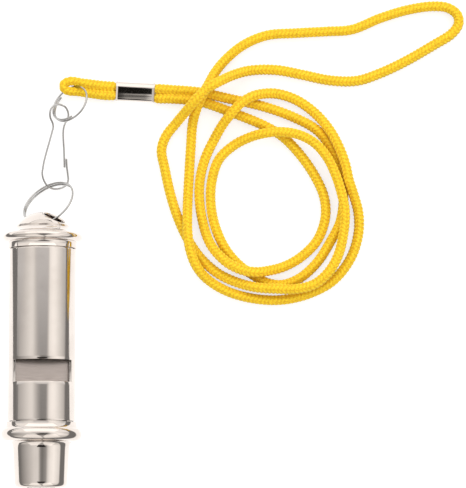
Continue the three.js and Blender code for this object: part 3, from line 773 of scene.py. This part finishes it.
def drawn_wire():
    material, tree, shader = new_material("drawn_wire")
    marks = handled(tree, polish=0.04, smear=0.06, scale=400)
    fill(tree, shader, {
        "Base Color": mixed(tree, marks["Mask"], (0.42, 0.412, 0.405, 1), (0.32, 0.312, 0.305, 1)),
        "Roughness": marks["Roughness"],
        "Normal": bumped(tree, marks["Height"], strength=0.4, distance=0.000003),
        "Metallic": 1,
    })
    return material


def wire_tree():
    tree, given, curve, section = sweep_tree("bent_wire", {})
    return finish_tree(tree, given, sweep_along(tree, curve, section))


wire_shape = wire_tree()
wire_finish = drawn_wire()


def rounded_ends(points, radius, tumbled):
    """Thickness along a wire whose cut ends are tumbled round, where they are said to be."""
    run = run_along(points)
    from_start = run if tumbled[0] else run + radius
    from_finish = run[-1] - run if tumbled[1] else run[-1] - run + radius
    inset = np.clip(1 - np.minimum(from_start, from_finish) / radius, 0, 1)
    return radius * np.maximum(np.sqrt(1 - inset ** 2), tumbled_flat)


def bent_wire(name, points, radius, tumbled=(True, True)):
    piece = path_object(name, points, rounded_ends(points, radius, tumbled))
    return swept(piece, wire_shape, {"Points around": wire_sides, "Material": wire_finish})


def ring_points(centre, level, rising, radius, start, turns, ease):
    """Two flat turns side by side, with one step across between them."""
    normal = level.cross(rising)
    steps = int(points_per_turn * turns)
    made = []
    for i in range(steps + 1):
        turned = turns * i / steps
        step = min(max((turned - (turns - 1 + ease)) / (2 - turns - 2 * ease), 0), 1)
        across = (step * step * (3 - 2 * step) - 0.5) * wire_pitch
        angle = start + turned * 2 * math.pi
        made.append(
            centre + radius * math.cos(angle) * level + radius * math.sin(angle) * rising + across * normal)
    return np.array([tuple(point) for point in made])


along_barrel = Vector((0, 1, 0))
hole_square = Vector((-math.sin(cap_roll), 0, math.cos(cap_roll)))
ring_pivot = Vector((axis_x, whistle_start + whole_length - ring_depth, axis_z))
ring_pivot += hole_square * -ring_drop + hole_line * ring_shift
ring_swing = math.asin((ring_pivot.z - ring_height) / (ring_reach * hole_square.z))
ring_outward = along_barrel * math.cos(ring_swing) - hole_square * math.sin(ring_swing)
ring_middle = ring_pivot + ring_outward * ring_reach
cap_ring = bent_wire(
    "cap_ring",
    ring_points(ring_middle, hole_line, ring_outward, ring_radius, ring_start, ring_turns, 0),
    wire_radius)
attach(cap_ring, "cap_ring")
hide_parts("cap_split_ring")

# Spring clip. One length of spring wire bent into a hook, a leg, an eye and a springy gate
# that snaps behind the hook's end. It hangs from the cap ring and lies tilted on the surface.
clip_wire_radius = 0.0003
clip_low = 0.00045
clip_step = 0.00012
clip_low_edge = (0.0032, 0.0011)
clip_side_rise = 0.33
clip_eye_rise = 0.065
hook_bends = [
    (0.00264, 0.0079), (0.00277, 0.0055), (0.00304, 0.0033), (0.0032, 0.0015), (0.0028, 0.0001),
    (0.0014, -0.001), (-0.0004, -0.0015), (-0.002, -0.0012), (-0.0034, -0.0001), (-0.0042, 0.0015),
    (-0.0045, 0.0031), (-0.0043, 0.0048), (-0.0039, 0.0071), (-0.0026, 0.0121), (-0.0016, 0.0159),
    (-0.0013, 0.0173), (-0.0015, 0.0185), (-0.0021, 0.0198), (-0.0023, 0.0213), (-0.002, 0.0227),
    (-0.0011, 0.0238), (0.0003, 0.0242), (0.0016, 0.0239),
]
gate_bends = [
    (0.00165, 0.02387), (0.0023, 0.0235), (0.0029, 0.0225), (0.0032, 0.0213), (0.003, 0.0201),
    (0.0024, 0.0189), (0.0019, 0.0176), (0.0017, 0.0163), (0.0017, 0.0138), (0.0019, 0.0108),
    (0.002, 0.008), (0.00205, 0.0064), (0.00205, 0.0051),
]


def on_clip_plane(place):
    x, y = place
    rise = clip_side_rise * (clip_low_edge[0] - x) + clip_eye_rise * (y - clip_low_edge[1])
    return (clip_hang.x + x, clip_hang.y + y, clip_low + rise)


for name, node, body, bends, tumbled in (
    ("spring_clip_hook", "clip_hook", "clip", hook_bends, (True, False)),
    ("spring_clip_gate", "clip_gate", "gate", gate_bends, (False, True)),
):
    route = smooth_route([on_clip_plane(place) for place in bends], clip_step)
    wire = bent_wire(name, route, clip_wire_radius, tumbled)
    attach(wire, body)
    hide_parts(node)

# Small ring. A second split ring joins the clip's eye to the bight of cord.
# It leans with its left side low, under the eye, and its right side up.
small_radius = 0.00605
small_place = Vector((0.0039, 0.0241, 0.005))
small_heading = math.radians(51)
small_tilt = math.radians(45)
small_turns = 1.43
small_start = math.radians(118)
small_ease = 0.03
small_level = Vector((math.cos(small_heading), math.sin(small_heading), 0))
small_rising = Vector((small_level.y, -small_level.x, math.tan(small_tilt))).normalized()
small_ring = bent_wire(
    "small_ring",
    ring_points(
        clip_hang + small_place, small_level, small_rising,
        small_radius, small_start, small_turns, small_ease),
    wire_radius)
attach(small_ring, "lanyard_ring")
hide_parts("lanyard_split_ring")

# Crimp ferrule. A short brass tube, plated bright and pressed flat over both strands of the cord.
# Its ends are left slightly belled, so that they don't cut the braid.
ferrule_wall = 0.0004
ferrule_turn = math.radians(-3)
ferrule_bell = 0.0002
ferrule_points = 128
ferrule_step = 0.00002
# Seen from its end: the upper face is pressed in two planes that meet in a ridge.
ferrule_outline = [
    (0.0013, 0.0017), (0.00115, 0.001685), (0.0009, 0.00164), (0.0004, 0.00155), (-0.0001, 0.00146),
    (-0.0006, 0.00137), (-0.0011, 0.001293), (-0.0016, 0.001215), (-0.0021, 0.001138), (-0.0025, 0.001076),
    (-0.00272, 0.00102), (-0.00287, 0.00085), (-0.00295, 0.0003), (-0.00292, -0.0007), (-0.0027, -0.00115),
    (-0.0022, -0.00141), (-0.0013, -0.00147), (0, -0.00147), (0.0013, -0.00147), (0.0022, -0.00138),
    (0.00275, -0.0009), (0.00295, 0), (0.0028, 0.00075), (0.00245, 0.00125), (0.0019, 0.00157),
    (0.0013, 0.0017),
]
# Along it: how far from the end, and how far the skin stands out there.
ferrule_end = [
    (0, -0.00012), (0.00006, 0.00006), (0.00022, ferrule_bell), (0.00045, ferrule_bell * 0.6),
    (0.0007, 0), (0.0009, -0.00003), (ferrule_half_length / 2, -0.00005),
]
ferrule_waist = -0.00006
bore_inset = 0.0001
outline = smooth_route([(a, b, 0) for a, b in ferrule_outline], ferrule_step)[:-1, :2]
outline = outline[np.linspace(0, len(outline), ferrule_points, endpoint=False).astype(int)]
facing = np.roll(outline, -1, axis=0) - np.roll(outline, 1, axis=0)
facing = np.column_stack([facing[:, 1], -facing[:, 0]])
facing /= np.linalg.norm(facing, axis=1)[:, None]
bore_end = ferrule_half_length - bore_inset
stations = [
    *[(inset - ferrule_half_length, swell) for inset, swell in ferrule_end],
    (0, ferrule_waist),
    *[(ferrule_half_length - inset, swell) for inset, swell in reversed(ferrule_end)],
    *[(place, -ferrule_wall) for place in (bore_end, 0, -bore_end)],
]
ferrule_along = Vector((math.cos(ferrule_turn), math.sin(ferrule_turn), 0))
ferrule_across = Vector((-ferrule_along.y, ferrule_along.x, 0))
rings = []
for place, swell in stations:
    middle = clip_hang + ferrule_place + ferrule_along * place
    skin = outline + swell * facing
    rings.append([
        middle + ferrule_across * float(across) + Vector((0, 0, float(up))) for across, up in skin])
ferrule = skinned("ferrule", rings)
shaded(ferrule, 50)
dress(ferrule.data, bright_nickel("pressed_nickel", polish=0.035, smear=0.06, line_depth=0.000002))
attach(ferrule, "lanyard")
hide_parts("crimp_ferrule")

# Stage. A plain white floor under soft light from both ends. To the metal's reflections the floor is
# painted: white as a painted pool of light in a slanted band along the whistle and on the ground beyond its
# cap, and painted grey shade past them.
floor_size = 1.6
floor_white = (0.45, 0.45, 0.45)
floor_glow = 0.7
painted_light_parts = (
    ((-0.0214, 0.0651), (-0.128, 0.602), math.radians(28)),
    ((-0.2, 0.06), (0.035, 0.602), 0),
)
painted_light_fade = 0.006
painted_shade_tone = 0.17
edge = floor_size / 2
floor = linked("floor", bpy.data.meshes.new("floor"))
floor.data.from_pydata(
    [(-edge, -edge, 0), (edge, -edge, 0), (edge, edge, 0), (-edge, edge, 0)], [], [(0, 1, 2, 3)])
material, tree, shader = new_material("white_floor")
place = new_node(tree, "ShaderNodeTexCoord").outputs["Object"]
# Painted light for reflections: one inside the bands, falling to the painted grey shade outside them.
painted_light = 0
for sides, ends, turn in painted_light_parts:
    turned = new_node(tree, "ShaderNodeVectorRotate", {
        "Vector": place, "Center": (view_aim.x, view_aim.y, 0), "Angle": turn}, rotation_type="Z_AXIS")
    split = new_node(tree, "ShaderNodeSeparateXYZ", {0: turned.outputs["Vector"]}).outputs
    away = []
    for axis, (low, high) in (("X", sides), ("Y", ends)):
        off = math_node(tree, "ABSOLUTE", math_node(tree, "SUBTRACT", split[axis], (low + high) / 2))
        past = math_node(tree, "MAXIMUM", math_node(tree, "SUBTRACT", off, (high - low) / 2), 0)
        away.append(math_node(tree, "MULTIPLY", past, past))
    away = math_node(tree, "SQRT", math_node(tree, "ADD", *away))
    painted_light = math_node(tree, "MAXIMUM", map_range(tree, away, 0, painted_light_fade, 1, painted_shade_tone, "SMOOTHSTEP"), painted_light)
path = new_node(tree, "ShaderNodeLightPath").outputs
mirrored = math_node(tree, "MAXIMUM", path["Is Glossy Ray"], path["Is Transmission Ray"])
tone = new_node(tree, "ShaderNodeMix", {"Factor": mirrored, "A": 1, "B": painted_light}).outputs["Result"]
seen = math_node(tree, "MAXIMUM", mirrored, math_node(tree, "MULTIPLY", path["Is Camera Ray"], floor_glow))
fill(tree, shader, {
    "Base Color": scaled(tree, floor_white, tone),
    "Roughness": 0.9,
    "Specular IOR Level": 0,
    "Emission Color": (1, 1, 1, 1),
    "Emission Strength": math_node(tree, "MULTIPLY", seen, tone),
})
dress(floor.data, material)

# Two soft boxes, one beyond the cap and one before the mouthpiece, both aimed at the floor between them.
warm = (1, 0.985, 0.96)
lamp_size = (1.7, 0.9)
lamp_power = 2.5
for name, place in (("back_box", Vector((0.05, 0.75, 0.62))), ("front_box", Vector((0.1, -0.75, 0.6)))):
    lamp = bpy.data.lights.new(name, "AREA")
    lamp.shape = "RECTANGLE"
    lamp.size, lamp.size_y = lamp_size
    lamp.energy = lamp_power
    lamp.color = warm
    stand = linked(name, lamp)
    stand.location = place
    look = (Vector((place.x, 0, 0)) - place).normalized()
    right = Vector((1, 0, 0))
    stand.rotation_euler = Matrix((right, right.cross(look), -look)).transposed().to_euler()

# The room that the metal mirrors: levels of light over the lean from straight up, in degrees, with a
# dark gap overhead between two soft lights. What leans towards the mouthpiece's end sees the first list.
mouth_room = [
    (-90, 0.3), (-24, 1.04), (-9, 1.05), (1, 0.4), (8, 0.27), (24, 0.45),
    (33, 1.05), (42, 1.33), (58, 1.5), (86, 1.1), (90, 0.5),
]
barrel_room = [
    (-90, 0.2), (-86, 0.22), (-82, 0.6), (-36, 1.15), (-27, 1.12), (-8, 0.5), (2, 0.3), (19, 0.34),
    (30, 1.28), (40, 1.45), (50, 1.4), (86, 0.7), (90, 0.4),
]
far_wall = (1.3, 1.28, 1.25, 1)
near_wall = (0.85, 0.83, 0.8, 1)
figure_black = (0.012, 0.011, 0.01, 1)
figure_middle = 0.08
world = bpy.data.worlds.new("studio")
bpy.context.scene.world = world
world.use_nodes = True
tree = world.node_tree
look = new_node(tree, "ShaderNodeTexCoord").outputs["Generated"]
split = new_node(tree, "ShaderNodeSeparateXYZ", {0: look}).outputs
lean = math_node(tree, "DIVIDE", math_node(tree, "ARCTAN2", split["X"], split["Z"]), math.pi)
lean = math_node(tree, "ADD", lean, 0.5)


def room_tones(room):
    stops = [(angle / 180 + 0.5, (*[level * part for part in warm], 1)) for angle, level in room]
    return colour_ramp(tree, lean, stops)


# Towards the cap's end a pale haze fills the dark gap, and the walls beyond both ends are plain.
haze = map_range(tree, split["Y"], 0.0535, 0.107, low=0.27, high=0.86)
lifted = new_node(tree, "ShaderNodeVectorMath", {0: room_tones(barrel_room), 1: haze}, operation="MAXIMUM")
seen = lifted.outputs["Vector"]
to_mouth = math_node(tree, "MULTIPLY", split["Y"], -1)
for facing_it, start, end, tones in (
    (to_mouth, -0.05, 0.03, room_tones(mouth_room)),
    (split["Y"], 0.12, 0.42, far_wall),
    (to_mouth, 0.25, 0.7, near_wall),
):
    seen = mixed(tree, map_range(tree, facing_it, start, end, blend="SMOOTHSTEP"), seen, tones)
# The dark figure at the camera: widest at the lens and narrower towards the ground.
figure_half = map_range(tree, split["Y"], -0.9, -0.13, low=0.02, high=0.32)
off = math_node(tree, "ABSOLUTE", math_node(tree, "SUBTRACT", split["X"], figure_middle))
inside = map_range(tree, math_node(tree, "SUBTRACT", figure_half, off), -0.03, 0.03, blend="SMOOTHSTEP")
before = map_range(tree, to_mouth, 0.12, 0.15, blend="SMOOTHSTEP")
seen = mixed(tree, math_node(tree, "MULTIPLY", inside, before), seen, figure_black)
fill(tree, tree.nodes["Background"], {"Color": seen})
bpy.context.scene.view_settings.view_transform = "Standard"
